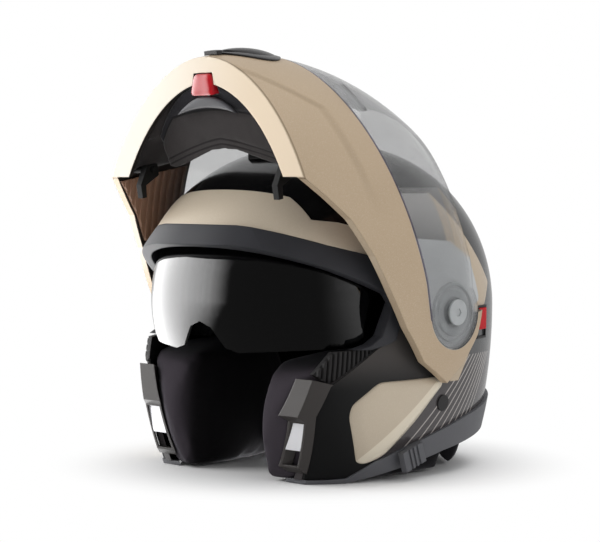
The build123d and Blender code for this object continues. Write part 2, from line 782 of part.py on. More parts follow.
def shield_tab():
    """The lift tab at the shield's lower left edge."""
    y = -tab_ahead
    z = pivot_height - shield_pod_radius + tab_height
    block = slab(0, overrun, y, y + tab_length, z, z + tab_height)
    return layer(chin_form, -tab_proud, 0) & block


def pair(left):
    """One node of two like pieces, one on each side."""
    return Compound(children=[left.solid(), mirrored(left).solid()])


def lock_block(proud, grow, travel):
    """A block at the lock slider's place on the shell, as high as its travel needs."""
    y = -lock_ahead
    z = pivot_height + lock_above
    half = lock_width / 2 + grow
    block = slab(0, overrun, y - half, y + half, z - lock_height / 2 - grow - travel, z + lock_height / 2 + grow)
    return block & layer(shell_form, -proud, 0)


def lock_slider():
    """The coloured slider that keeps the chin bar open or shut."""
    return lock_block(lock_proud, 0, 0) & layer(shell_form, -lock_proud, -vent_gap)


def lock_surround():
    """The dark frame that the lock slider runs in."""
    return lock_block(lock_frame_proud, lock_frame, lock_travel) - lock_block(lock_proud, vent_gap, lock_travel)


def intercom_plug():
    """The round blanking plug on the left side."""
    return disc(plug_radius, 0, overrun, -plug_ahead, plug_height) & layer(shell_form, -plug_proud, 0)


def plan_prism(points):
    """A prism upward from the pivot height through a plan outline given as (X, Y) points."""
    return extrude(Plane.XY.offset(pivot_height) * Polygon(*points, align=None), overrun, dir=(0, 0, 1))


def top_vent():
    """The intake on the crown."""
    half = top_vent_half_width
    slim = half * top_vent_tail_share
    front = -top_vent_ahead - top_vent_length / 2
    middle = -top_vent_ahead
    rear = -top_vent_ahead + top_vent_length / 2
    outline = plan_prism([
        (-slim, front), (slim, front), (half, middle), (slim, rear), (-slim, rear), (-half, middle)])
    cap = layer(shell_form, -top_vent_proud, 0) & outline
    return cap - top_slider_pit(vent_gap, vent_slider_travel)


def top_slider_pit(grow, travel):
    """The space on the crown vent that its slider fills over its travel."""
    half = vent_slider_half_width + grow
    y = -top_vent_ahead
    block = slab(-half, half, y - grow, y + vent_slider_length + travel + grow, pivot_height, overrun)
    return block & layer(shell_form, -top_vent_proud - vent_slider_proud, -top_vent_proud + vent_slider_pit)


def top_vent_slider():
    """The slider that opens and shuts the crown intake."""
    return top_slider_pit(0, 0) & layer(
        shell_form, -top_vent_proud - vent_slider_proud, -top_vent_proud + vent_slider_pit - vent_gap)


def rear_vent():
    """The exhaust hood at the back of the crown, with its slots."""
    half, low, high = rear_vent_half_width, rear_vent_low, rear_vent_high
    middle = (low + high) / 2
    slim = half * rear_vent_tail_share
    outline = front_prism([(-slim, low), (slim, low), (half, middle), (slim, high), (-slim, high), (-half, middle)],
                          ahead_only=False)
    hood = layer(shell_form, -rear_vent_proud, 0) & outline
    pitch = (high - low) / (rear_vent_slot_count + 1)
    skin = layer(shell_form, -rear_vent_proud, -rear_vent_proud / 2)
    for number in range(1, rear_vent_slot_count + 1):
        z = low + number * pitch
        width = slim * rear_vent_tail_share
        hood = hood - (slab(-width, width, 0, overrun, z - rear_vent_slot_height / 2, z + rear_vent_slot_height / 2)
                       & skin)
    return hood


def strap_path(end_x):
    return FilletPolyline(
        (strap_anchor_x, strap_anchor_height), (strap_turn_x, strap_turn_height), (strap_low_x, strap_low_height),
        (end_x, strap_low_height), radius=strap_bend_radius)


def strap_band(end_x, thickness, width):
    """A flat webbing run across the helmet from the left anchor to an end."""
    plane = Plane(origin=(0, strap_y + width / 2, 0), x_dir=(1, 0, 0), z_dir=(0, -1, 0))
    return extrude(plane * trace(strap_path(end_x), thickness), width)


def chin_strap_long():
    """The left strap, which ends in the buckle."""
    return strap_band(buckle_x + buckle_length / 2 - strap_insert, strap_thickness, strap_width)


def chin_strap_short():
    """The right strap, which ends in the buckle's other side."""
    return mirrored(strap_band(buckle_length / 2 - buckle_x - strap_insert, strap_thickness, strap_width))


def strap_slot():
    """The way through the left cheek pad for the strap and its anchor."""
    slot = strap_band(buckle_x, strap_thickness + 2 * pad_gap, strap_width + 2 * pad_gap)
    return slot + disc(
        anchor_radius + pad_gap, strap_anchor_x - strap_slot_depth, shell_half_width, strap_y, strap_anchor_height)


def strap_anchors():
    """The plates that hold the straps to the shell's sides."""
    plate = disc(anchor_radius, strap_anchor_x + anchor_thickness / 2, shell_half_width, strap_y, strap_anchor_height)
    return pair(plate & shell_form(shell_wall))


def buckle_block(x0, x1, z0, z1, width):
    return slab(x0, x1, strap_y - width / 2, strap_y + width / 2, z0, z1)


def buckle_body():
    """The ratchet buckle's housing, open toward both straps, with two ears and a pin for its lever."""
    x0, x1 = buckle_x - buckle_length / 2, buckle_x + buckle_length / 2
    half = strap_thickness / 2 + buckle_fit
    z0, z1 = strap_low_height - half, strap_low_height + half
    top = lever_base() + lever_thickness + lever_pin_radius
    body = buckle_block(x0, x1, z0 - buckle_wall, z1 + buckle_wall, buckle_width)
    ears = buckle_block(x1 - ear_length, x1, z1, top, buckle_width)
    ears = ears - buckle_block(x1 - ear_length, x1, z1, top, buckle_width - 2 * buckle_wall)
    body = body + ears - buckle_block(x0, x1, z0, z1, strap_width + 2 * buckle_fit)
    return body + lever_pin(lever_pin_radius, buckle_width)


def lever_base():
    return strap_low_height + strap_thickness / 2 + buckle_fit + buckle_wall + running_gap


def lever_pin(radius, length):
    """A round piece on the buckle lever's hinge axis."""
    x = buckle_x + buckle_length / 2 - ear_length / 2
    return Pos(x, strap_y, lever_base() + lever_thickness / 2) * Rot(90, 0, 0) * Cylinder(radius, length)


def buckle_lever():
    """The release lever on top of the buckle, on its pin between the ears."""
    x1 = buckle_x + buckle_length / 2
    width = buckle_width - 2 * buckle_wall - 2 * running_gap
    lever = buckle_block(x1 - lever_length, x1 - ear_length / 2, lever_base(), lever_base() + lever_thickness, width)
    knuckle = lever_pin(lever_thickness / 2, width)
    return lever + knuckle - lever_pin(lever_pin_radius + lever_pin_fit, buckle_width)


def neck_roll():
    """The padded roll round the back of the neck, flat where it stands."""
    path = ThreePointArc((-roll_half_width, roll_start_y), (0, roll_rear_y), (roll_half_width, roll_start_y))
    path = Pos(0, 0, roll_half_height - pad_seat_depth) * path
    section = Plane(origin=path @ 0, z_dir=path % 0, x_dir=(0, 0, 1)) * Ellipse(roll_half_height, roll_half_depth)
    roll = sweep(section, path)
    roll = roll - slab(-overrun, overrun, -overrun, overrun, -overrun, 0)
    return roll & shell_form(shell_wall + trim_lip + pad_gap)


def write_parts():
    """Makes every node in its place at rest and writes it."""
    save("outer_shell", outer_shell())
    save("forehead_band", forehead_band())
    save("eye_port_gasket", eye_port_gasket())
    save_pair("cheek_cover", cheek_cover())
    save_pair("side_panel", side_panel())
    save_pair("latch_guide", latch_guide())
    save_pair("striker_plate", striker_plate())
    save_pair("cheek_grille", cheek_grille())
    save("base_trim", base_trim())
    save("eps_liner", eps_liner())
    save("eps_side_ring", eps_side_ring())
    save("crown_pad", crown_pad())
    save_pair("cheek_pad", cheek_pad() - strap_slot())
    save("neck_roll", neck_roll())
    save("sun_visor", sun_visor())
    save("visor_pins", visor_pins())
    save("visor_lever", visor_lever())
    save_pair("pivot_plate", pivot_plate())
    save("pivot_hubs", pair(pivot_hub()))
    save("pivot_screws", pivot_screws())
    save("lock_slider", lock_slider())
    save("lock_surround", lock_surround())
    save("intercom_plug", intercom_plug())
    save("top_vent", top_vent())
    save("top_vent_slider", top_vent_slider())
    save("rear_vent", rear_vent())
    save("chin_strap_left", chin_strap_long())
    save("chin_strap_right", chin_strap_short())
    save("strap_anchors", strap_anchors())
    save("buckle_body", buckle_body())
    save("buckle_lever", buckle_lever())
    save("chin_bar_shell", raised(chin_bar_shell()))
    save("chin_liner", raised(chin_liner()))
    save("chin_curtain", raised(chin_curtain()))
    save("chin_vent", raised(chin_vent()))
    save("chin_vent_slider", raised(chin_vent_slider()))
    save("release_button", raised(release_button()))
    raised_pairs = {"arm_cover": arm_cover(), "latch_hook": latch_hook(), "shield_ratchet": shield_ratchet()}
    for name, piece in raised_pairs.items():
        save(f"{name}_left", raised(piece))
        save(f"{name}_right", raised(mirrored(piece)))
    save("hook_pins", raised(hook_pins()))
    save("face_shield", raised(face_shield()))
    save("shield_tab", raised(shield_tab()))


os.makedirs("parts", exist_ok=True)
write_parts()
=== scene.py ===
import json
import math

import bmesh
import bpy
from mathutils import Matrix, Vector
from mathutils.bvhtree import BVHTree


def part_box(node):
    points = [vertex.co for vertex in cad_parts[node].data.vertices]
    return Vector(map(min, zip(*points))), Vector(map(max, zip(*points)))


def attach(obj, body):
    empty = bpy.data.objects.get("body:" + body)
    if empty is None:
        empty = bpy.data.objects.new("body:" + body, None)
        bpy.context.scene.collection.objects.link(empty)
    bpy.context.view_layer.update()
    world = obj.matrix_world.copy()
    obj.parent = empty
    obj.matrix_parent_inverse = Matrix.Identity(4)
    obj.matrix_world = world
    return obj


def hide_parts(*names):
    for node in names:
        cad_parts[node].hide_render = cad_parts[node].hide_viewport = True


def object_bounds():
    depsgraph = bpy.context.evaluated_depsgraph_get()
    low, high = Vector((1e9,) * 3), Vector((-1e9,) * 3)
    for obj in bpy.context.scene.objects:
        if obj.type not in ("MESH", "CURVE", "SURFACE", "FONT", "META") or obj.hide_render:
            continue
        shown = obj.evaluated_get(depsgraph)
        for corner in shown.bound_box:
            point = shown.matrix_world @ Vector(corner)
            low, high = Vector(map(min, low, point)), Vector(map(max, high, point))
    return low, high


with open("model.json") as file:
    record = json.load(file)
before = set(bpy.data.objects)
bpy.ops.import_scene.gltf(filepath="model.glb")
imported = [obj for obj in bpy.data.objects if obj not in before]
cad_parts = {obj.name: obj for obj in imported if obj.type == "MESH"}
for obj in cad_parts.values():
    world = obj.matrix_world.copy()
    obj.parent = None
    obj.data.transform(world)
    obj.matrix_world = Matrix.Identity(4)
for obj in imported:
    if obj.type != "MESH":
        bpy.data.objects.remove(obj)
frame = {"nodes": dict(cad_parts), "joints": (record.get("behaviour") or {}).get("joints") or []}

model_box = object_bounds()


# Outer shell
# One moulding of filled thermoplastic, open at the face and the neck. It is sprayed gloss black over the
# crown and anthracite at the sides, with a sand field behind each arm, lined with fine grey pinstripes low at
# the rear, and clear coated. A grey field at each temple, paler upward, is the shield's reflection painted
# in.

class Value:
    """One socket; arithmetic on it adds the maths that a finish or the room needs."""

    def __init__(self, nodes, socket):
        self.nodes = nodes
        self.socket = socket

    def maths(self, operation, first, second=0.0):
        return self.nodes.node("ShaderNodeMath", {"operation": operation}, {0: first, 1: second})

    def __add__(self, other):
        return self.maths("ADD", self, other)

    def __radd__(self, other):
        return self.maths("ADD", other, self)

    def __sub__(self, other):
        return self.maths("SUBTRACT", self, other)

    def __rsub__(self, other):
        return self.maths("SUBTRACT", other, self)

    def __mul__(self, other):
        return self.maths("MULTIPLY", self, other)

    def __rmul__(self, other):
        return self.maths("MULTIPLY", other, self)

    def __truediv__(self, other):
        return self.maths("DIVIDE", self, other)

    def __rtruediv__(self, other):
        return self.maths("DIVIDE", other, self)

    def __pow__(self, other):
        return self.maths("POWER", self, other)

    def __rpow__(self, other):
        return self.maths("POWER", other, self)

    def __abs__(self):
        return self.maths("ABSOLUTE", self)

    def at_least(self, other):
        """The larger of two values."""
        return self.maths("MAXIMUM", self, other)

    def at_most(self, other):
        """The smaller of two values."""
        return self.maths("MINIMUM", self, other)

    def wave(self, pitch):
        """A wave from -1 to 1 along this value, with one crest in each pitch."""
        return self.maths("SINE", self * (2 * math.pi / pitch))

    def from_line(self, pitch):
        """The distance to the nearest of the lines that are a pitch apart."""
        return self.maths("PINGPONG", self, pitch / 2)

    def fade(self, start, end):
        """0 up to the start and 1 from the end, with a soft passage between them."""
        return self.nodes.node(
            "ShaderNodeMapRange", {"interpolation_type": "SMOOTHSTEP"}, {0: self, 1: start, 2: end})


class Nodes:
    """The nodes of a finish or of the room."""

    def __init__(self, tree):
        self.tree = tree

    def feed(self, node, sockets):
        for key, value in sockets.items():
            if isinstance(value, Value):
                self.tree.links.new(value.socket, node.inputs[key])
            else:
                node.inputs[key].default_value = value

    def node(self, kind, settings=None, sockets=None, out=0):
        """Adds a node, with its settings first and then its sockets, and gives one of its outputs."""
        made = self.tree.nodes.new(kind)
        for key, value in (settings or {}).items():
            setattr(made, key, value)
        self.feed(made, sockets or {})
        return Value(self, made.outputs[out])

    def axes(self, vector):
        """The three parts of a vector."""
        first = self.node("ShaderNodeSeparateXYZ", {}, {0: vector})
        return [Value(self, socket) for socket in first.socket.node.outputs]

    def along(self, vector, way):
        """How far one vector reaches along another."""
        return self.node(
            "ShaderNodeVectorMath", {"operation": "DOT_PRODUCT"}, {0: vector, 1: way}, out="Value")


class Finish(Nodes):
    """The finish of one kind of surface, built on one shader."""

    def __init__(self, name, sockets):
        self.material = bpy.data.materials.new(name)
        self.material.use_nodes = True
        super().__init__(self.material.node_tree)
        self.shader = self.tree.nodes["Principled BSDF"]
        self.feed(self.shader, sockets)
        self.place = self.node("ShaderNodeTexCoord", out="Object")

    def facing(self):
        """The way that the face looks."""
        return self.node("ShaderNodeTexCoord", out="Normal")

    def speckle(self, size, detail=2.0):
        """Noise from 0 to 1 whose blotches are about one size across."""
        return self.node(
            "ShaderNodeTexNoise", {}, {"Vector": self.place, "Scale": 1 / size, "Detail": detail})

    def mixed(self, mask, under, over):
        """One colour over another, where the mask is 1."""
        return self.node("ShaderNodeMix", {"data_type": "RGBA"}, {0: mask, 6: under, 7: over}, out=2)

    def inside(self, middle):
        """1 where the face looks toward a middle point, and 0 where it looks away from it."""
        soft = 0.004
        away = self.node("ShaderNodeVectorMath", {"operation": "SUBTRACT"}, {0: self.place, 1: middle})
        return self.along(away, self.facing()).fade(0.0, -soft)

    def colour(self, value):
        self.feed(self.shader, {"Base Color": value})

    def roughness(self, value):
        self.feed(self.shader, {"Roughness": value})

    def relief(self, edge, height=None, depth=0.0):
        """Softens the piece's edges by a radius, and raises a pattern on it."""
        normal = self.node("ShaderNodeBevel", {"samples": 6}, {"Radius": edge})
        if height is not None:
            normal = self.node(
                "ShaderNodeBump", {}, {"Height": height, "Distance": depth, "Normal": normal})
        self.feed(self.shader, {"Normal": normal})


def tint(red, green, blue):
    """A colour from 0 to 255, as a paint chart gives it, in the light values that a shader takes."""
    shares = [part / 255 for part in (red, green, blue)]
    return tuple(s / 12.92 if s <= 0.04045 else ((s + 0.055) / 1.055) ** 2.4 for s in shares) + (1.0,)


def dress(finish, *names):
    """Gives the frame's own pieces a finish."""
    for name in names:
        for place in frame["nodes"][name].material_slots:
            place.material = finish.material


stripe_top = 0.088
field_front = 0.018
border = 0.0006


def pinstripes(finish, y, z):
    """Thin lines that spread from one point high at the rear."""
    origin_y = 0.121
    origin_z = 0.163
    step = math.radians(1.95)
    first = math.radians(43.9)
    last = math.radians(60.5)
    half_width = 0.00035
    soft = 0.00025
    back = origin_y - y
    down = origin_z - z
    angle = finish.node("ShaderNodeMath", {"operation": "ARCTAN2"}, {0: down, 1: back})
    reach = (back * back + down * down) ** 0.5
    line = ((angle - first).from_line(step) * reach).fade(half_width + soft, half_width)
    field = angle.fade(first - step / 2, first - step / 3) * angle.fade(last, last - step / 8)
    return line * field * z.fade(stripe_top, stripe_top - soft)


def arm_field(y, z):
    """The sand field behind the arm: upright in front, and a point at the rear."""
    rear_low_y = 0.0237
    rear_low_z = 0.062
    rear_slope = 1.49
    peak_z = 0.210
    peak_slope = 1.18
    foot = 0.0692
    rear_soft = 0.0005
    peak_soft = 0.0004
    field = y.fade(field_front, field_front + border) * z.fade(foot, foot + border)
    field = field * (z - rear_low_z - (y - rear_low_y) * rear_slope).fade(0, rear_soft)
    return field * (z - peak_z + (y - field_front) * peak_slope).fade(peak_soft, 0)


def temple_reflection_field(y, z):
    """The field between the forehead band and the sand field, painted grey for the shield's reflection."""
    front = -0.060
    top = 0.208
    low = 0.130
    low_fade = 0.005
    field = y.fade(field_front + border, field_front) * y.fade(front, front + border)
    return field * z.fade(top + border, top) * z.fade(low, low + low_fade)


def shell_lacquer():
    crown_height = 0.135
    crown_fade = 0.025
    head_middle = Vector((0, 0, 0.1))
    flake_in_ground = 0.12
    flake_in_sand = 0.48
    finish = Finish("shell_lacquer", {"Roughness": 0.16, "Coat Weight": 0.3, "Coat Roughness": 0.05})
    y, z = finish.axes(finish.place)[1:]
    flake = finish.speckle(0.0007, 1.0).fade(0.55, 0.75)
    ground = finish.mixed(z.fade(stripe_top - 0.012, stripe_top + 0.01), tint(72, 68, 69), tint(74, 76, 77))
    ground = finish.mixed(flake * flake_in_ground, ground, tint(140, 140, 142))
    ground = finish.mixed(pinstripes(finish, y, z), ground, tint(176, 170, 166))
    # painted reflection: the temple field's grey, paler upward, stands for the shield's reflection over the
    # shell
    grey = finish.mixed(z.fade(0.15, 0.21), tint(112, 112, 113), tint(168, 166, 164))
    sand = finish.mixed(flake * flake_in_sand, tint(190, 172, 148), tint(206, 192, 170))
    behind_arm = arm_field(y, z)
    temple_reflection = temple_reflection_field(y, z)
    ground = finish.mixed(behind_arm, finish.mixed(temple_reflection, ground, grey), sand)
    crown = z.fade(crown_height, crown_height + crown_fade) * (1 - behind_arm) * (1 - temple_reflection)
    finish.colour(finish.mixed(crown.at_least(finish.inside(head_middle)), ground, tint(13, 13, 14)))
    finish.relief(0.0008)
    return finish


dress(shell_lacquer(), "outer_shell")


# Impact liner
# Black expanded foam, moulded in beads that still show as a fine pebbled skin. It is glued into the
# shell and is hollow above the brow, where the sun visor is stowed.

def bead_foam():
    bead = 0.0032
    finish = Finish("bead_foam", {"Roughness": 0.92, "Specular IOR Level": 0.2})
    cells = finish.node("ShaderNodeTexVoronoi", {}, {"Vector": finish.place, "Scale": 1 / bead})
    shade = finish.speckle(0.012, 3.0)
    finish.colour(finish.mixed(cells.fade(0.2, 0.75) * 0.6 + shade * 0.2, tint(38, 38, 40), tint(20, 20, 22)))
    finish.relief(0.001, 1 - cells, 0.0006)
    return finish


dress(bead_foam(), "eps_liner", "eps_side_ring")


# Comfort pads
# The crown pad, the cheek pads, the neck roll and the chin bar's lining are cut foam sewn into brushed
# charcoal cloth. Each cover is filled by its foam, swells between its seams and snaps to the liner.

def cloth_finish(name):
    """Cloth that catches the light in its nap, still without a colour."""
    return Finish(name, {"Specular IOR Level": 0.15, "Sheen Weight": 0.3, "Sheen Roughness": 0.4})


def knit(name, low, high):
    """Fine brushed knit with a soft nap, between a darker and a lighter shade."""
    finish = cloth_finish(name)
    finish.feed(finish.shader, {"Sheen Tint": tint(150, 150, 156)})
    loops = finish.speckle(0.0009, 2.0)
    nap = finish.speckle(0.007, 3.0)
    finish.cloth = finish.mixed(loops * 0.5 + nap * 0.4, low, high)
    finish.colour(finish.cloth)
    finish.roughness(0.88 + nap * 0.1)
    finish.relief(0.0004, loops * 0.5 + nap * 0.5, 0.0004)
    return finish


def felt(name):
    """Plain charcoal cloth with a flat nap."""
    finish = cloth_finish(name)
    nap = finish.speckle(0.008, 4.0)
    finish.cloth = finish.mixed(nap, tint(52, 49, 49), tint(66, 62, 62))
    finish.colour(finish.cloth)
    finish.roughness(0.85 + nap * 0.1)
    finish.relief(0.0004, finish.speckle(0.0008, 2.0), 0.0003)
    return finish


def pad_knit():
    """The cheek pads' knit, its inward faces darkened by painted shade and the faces that look forward made
    paler by painted light.
    """
    finish = knit("pad_knit", tint(9, 8, 9), tint(26, 24, 27))
    # painted light: faces that look forward are painted paler, and the dark base stands for shade on the
    # inward faces
    front = finish.axes(finish.facing())[1].fade(-0.2, -0.75)
    finish.colour(finish.mixed(front, finish.cloth, tint(64, 59, 65)))
    return finish


def smooth_faces(mesh):
    for face in mesh.polygons:
        face.use_smooth = True


def piece(name, bm, finish, body):
    """Makes a piece from its mesh, in place, and lets it ride with a body."""
    mesh = bpy.data.meshes.new(name)
    bm.to_mesh(mesh)
    bm.free()
    mesh.materials.append(finish.material)
    smooth_faces(mesh)
    made = bpy.data.objects.new(name, mesh)
    bpy.context.scene.collection.objects.link(made)
    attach(made, body)
    return made


def shown(made):
    """The piece with its modifiers in force."""
    return made.evaluated_get(bpy.context.evaluated_depsgraph_get())


def take_shape(made):
    """Keeps the shape that the piece's modifiers give it, and removes them."""
    finish = made.data.materials[0]
    mesh = bpy.data.meshes.new_from_object(shown(made))
    made.modifiers.clear()
    made.data = mesh
    mesh.materials.clear()
    mesh.materials.append(finish)
    smooth_faces(mesh)


def sculpt(made, move):
    """Moves each point of a piece to where a function of its place and its normal puts it."""
    bm = bmesh.new()
    bm.from_mesh(made.data)
    bm.normal_update()
    moved = [move(vert.co, vert.normal) for vert in bm.verts]
    for vert, place in zip(bm.verts, moved):
        vert.co = place
    bm.to_mesh(made.data)
    bm.free()


def relax(made, rounds):
    """Evens out the cover's grid."""
    bm = bmesh.new()
    bm.from_mesh(made.data)
    for _ in range(rounds):
        bmesh.ops.smooth_vert(
            bm, verts=bm.verts, factor=0.5, use_axis_x=True, use_axis_y=True, use_axis_z=True)
    bm.to_mesh(made.data)
    bm.free()


def fill_out(made, cap):
    """Fills the cover by cloth under pressure, with no point moved further than the cap."""
    pressure = 4.0
    frames = 20
    scene = bpy.context.scene
    start = [vert.co.copy() for vert in made.data.vertices]
    cloth = made.modifiers.new("cloth", "CLOTH")
    cloth.settings.use_pressure = True
    cloth.settings.uniform_pressure_force = pressure
    cloth.settings.effector_weights.gravity = 0
    for number in range(1, frames + 1):
        scene.frame_set(number)
    filled = [vert.co.copy() for vert in shown(made).data.vertices]
    made.modifiers.clear()
    scene.frame_set(1)
    for vert, low, high in zip(made.data.vertices, start, filled):
        step = high - low
        if step.length > cap:
            step = step.normalized() * cap
        vert.co = low + step
    made.data.update()


def stuffed(name, node, body, finish, grid, margin, cap):
    """A sewn cover over one foam block: the block's form, drawn in by a margin and filled out again."""
    weld_gap = 0.00002
    bm = bmesh.new()
    bm.from_mesh(frame["nodes"][node].data)
    bmesh.ops.remove_doubles(bm, verts=bm.verts, dist=weld_gap)
    made = piece(name, bm, finish, body)
    remesh = made.modifiers.new("grid", "REMESH")
    remesh.mode = "VOXEL"
    remesh.voxel_size = grid
    take_shape(made)
    relax(made, 4)
    sculpt(made, lambda place, normal: place - normal * margin)
    fill_out(made, cap)
    relax(made, 2)
    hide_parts(node)
    return made


def subdivide(made):
    smooth = made.modifiers.new("smooth", "SUBSURF")
    smooth.levels = 1
    smooth.render_levels = 1


def make_cheek_pads():
    """The left pad, and its mirror image turned right side out."""
    finish = pad_knit()
    left = stuffed(
        "cheek_pad_cover_left", "cheek_pad_left", "helmet", finish,
        grid=0.004, margin=0.0018, cap=0.0028)
    bm = bmesh.new()
    bm.from_mesh(left.data)
    bmesh.ops.scale(bm, vec=(-1, 1, 1), verts=bm.verts)
    bmesh.ops.recalc_face_normals(bm, faces=bm.faces)
    right = piece("cheek_pad_cover_right", bm, finish, "helmet")
    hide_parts("cheek_pad_right")
    subdivide(left)
    subdivide(right)


make_cheek_pads()
charcoal_knit = knit("knit", tint(20, 20, 22), tint(42, 41, 45))
subdivide(stuffed(
    "crown_pad_cover", "crown_pad", "helmet", charcoal_knit, grid=0.003, margin=0.0006, cap=0.0009))
subdivide(stuffed(
    "neck_roll_cover", "neck_roll", "helmet", charcoal_knit, grid=0.004, margin=0.0018, cap=0.0026))
subdivide(stuffed(
    "chin_lining_cover", "chin_liner", "chin_bar", felt("lining_felt"),
    grid=0.0032, margin=0.0012, cap=0.0018))


# Chin straps
# Two lengths of black polyester webbing, 22 mm wide. Each is bolted to the shell's side, passes through
# its cheek pad and is folded and box stitched in the ratchet buckle under the chin.

def webbing():
    rib = 0.0016
    pick = 0.0011
    selvedge = 0.0028
    selvedge_soft = 0.001
    lean = 0.6
    finish = Finish("webbing", {"Roughness": 0.8, "Specular IOR Level": 0.3, "Sheen Weight": 0.1})
    x, y, z = finish.axes(finish.place)
    along = x - z * lean
    weave = y.wave(pick) * along.wave(rib)
    inner = strap_half_width - selvedge
    edge = abs(y - strap_line_y).fade(inner, inner + selvedge_soft)
    finish.colour(finish.mixed(weave * 0.2 + 0.3, tint(24, 24, 26), tint(54, 54, 58)))
    finish.relief(0.0002, weave * 0.5 + edge * 0.6, 0.0003)
    return finish


def walled(made, thickness):
    """Gives a sheet its thickness, half on each side, and rounds its edges."""
    wall = made.modifiers.new("wall", "SOLIDIFY")
    wall.thickness = thickness
    wall.offset = 0
    rim = made.modifiers.new("rim", "BEVEL")
    rim.width = thickness * 0.3
    rim.segments = 2


def make_strap(name, node, side, end_x):
    """A flat strap along its run from the anchor to the buckle, with round turns."""
    thickness = 0.0018
    turn_cut = 0.0066
    anchor = (0.108, 0.062)
    turn = (0.060, 0.034)
    low = (0.044, 0.012)
    bm = bmesh.new()
    run = [anchor, turn, low, (end_x, low[1])]
    verts = [bm.verts.new((side * x, strap_line_y - strap_half_width, z)) for x, z in run]
    edges = [bm.edges.new(two) for two in zip(verts, verts[1:])]
    swept = bmesh.ops.extrude_edge_only(bm, edges=edges)["geom"]
    far = [item for item in swept if isinstance(item, bmesh.types.BMVert)]
    bmesh.ops.translate(bm, vec=(0, 2 * strap_half_width, 0), verts=far)
    folds = [edge for edge in bm.edges if len(edge.link_faces) == 2]
    bmesh.ops.bevel(bm, geom=folds, offset=turn_cut, segments=6, profile=0.5, affect="EDGES", material=-1)
    bmesh.ops.recalc_face_normals(bm, faces=bm.faces)
    made = piece(name, bm, strap_finish, "helmet")
    walled(made, thickness)
    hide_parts(node)


left_low, left_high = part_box("chin_strap_left")
strap_line_y = (left_low.y + left_high.y) / 2
strap_half_width = (left_high.y - left_low.y) / 2
strap_finish = webbing()
make_strap("webbing_left", "chin_strap_left", 1, left_low.x)
make_strap("webbing_right", "chin_strap_right", -1, -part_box("chin_strap_right")[1].x)


# Ratchet buckle and anchors
# The buckle's housing is pressed from stainless steel, with a lever that frees the toothed strap. The
# anchors are stamped plates on bolts through the shell.

def brushed_steel(name, shade, metal, roughness, grain):
    """Steel with a fine brushed grain."""
    stretch = (1, 14, 1)
    finish = Finish(name, {"Base Color": shade, "Metallic": metal})
    streak = finish.node("ShaderNodeMapping", {}, {"Vector": finish.place, "Scale": stretch})
    brushed = finish.node("ShaderNodeTexNoise", {}, {"Vector": streak, "Scale": 1 / grain, "Detail": 4.0})
    finish.roughness(roughness + brushed * 0.18)
    finish.relief(0.0003, brushed, 0.00004)
    return finish


dress(
    brushed_steel("screw_steel", tint(176, 178, 182), metal=1.0, roughness=0.24, grain=0.002),
    "buckle_body", "buckle_lever", "strap_anchors", "visor_pins")


# Forehead band and side panels
# Moulded panels in sand coloured satin metallic lacquer, clipped over the shell above the eye port and
# on both cheeks, where they carry on the line of the closed chin bar.

def sand_lacquer(name, light, mid, deep):
    """Satin metallic lacquer in three shades, with fine flake and a slight cloudiness."""
    finish = Finish(name, {
        "Metallic": 0.25, "Coat Weight": 0.12, "Coat Roughness": 0.3, "Specular IOR Level": 0.45})
    finish.flake = finish.speckle(0.0006, 1.0)
    base = finish.mixed(finish.speckle(0.05, 2.0) * 0.35, mid, deep)
    finish.sand = finish.mixed(finish.flake.fade(0.5, 0.72) * 0.35, base, light)
    finish.satin = 0.38 + finish.flake * 0.08
    finish.roughness(finish.satin)
    return finish


def panel_lacquer(name):
    """The lacquer of the panels, with a fine flake relief."""
    finish = sand_lacquer(name, tint(226, 215, 199), tint(212, 198, 177), tint(196, 180, 157))
    finish.colour(finish.sand)
    finish.relief(0.0012, finish.flake, 0.00002)
    return finish


def cheek_lacquer():
    """The cheek panels' lacquer, with painted light making the slope along the rear lower edge paler."""
    finish = panel_lacquer("cheek_lacquer")
    start, end = slope_line
    way = (end - start).normalized()
    y, z = finish.axes(finish.place)[1:]
    from_line = (y - (pivot_y - start.x)) * way.y + (z - start.y) * way.x
    # painted light: the slope along the rear lower edge is painted paler, as a lit face
    lit_slope = from_line.fade(0.0078, 0.0070) * y.fade(0.020, 0.006)
    finish.colour(finish.mixed(lit_slope * 0.75, finish.sand, tint(244, 234, 214)))
    return finish


def shell_reach(y, z):
    """How far to the left the shell's face lies."""
    outside = 0.2
    return shell_faces.ray_cast(Vector((outside, y, z)), Vector((-1, 0, 0)))[0].x


def rounded(corners, radius, step):
    """The outline through a list of corners, each rounded and with its sides cut into short steps."""
    run = []
    for number, corner in enumerate(corners):
        before = corners[number - 1] - corner
        after = corners[(number + 1) % len(corners)] - corner
        cut = min(radius, before.length * 0.45, after.length * 0.45)
        first, last = corner + before.normalized() * cut, corner + after.normalized() * cut
        for share in (0, 0.25, 0.5, 0.75, 1):
            run.append(first.lerp(corner, share).lerp(corner.lerp(last, share), share))
    even = []
    for first, last in zip(run, run[1:] + run[:1]):
        count = max(1, round((last - first).length / step))
        even += [first.lerp(last, share / count) for share in range(count)]
    return even


def rings_to_mesh(rings):
    """A skin over closed rings of points, each inside the one before, shut by a fan in the last."""
    bm = bmesh.new()
    made = [[bm.verts.new(point) for point in ring] for ring in rings]
    for low, high in zip(made, made[1:]):
        for number in range(len(low)):
            after = (number + 1) % len(low)
            bm.faces.new((low[number], low[after], high[after], high[number]))
    bm.faces.new(made[-1])
    bmesh.ops.triangulate(bm, faces=[face for face in bm.faces if len(face.verts) > 4])
    bmesh.ops.recalc_face_normals(bm, faces=bm.faces)
    return bm


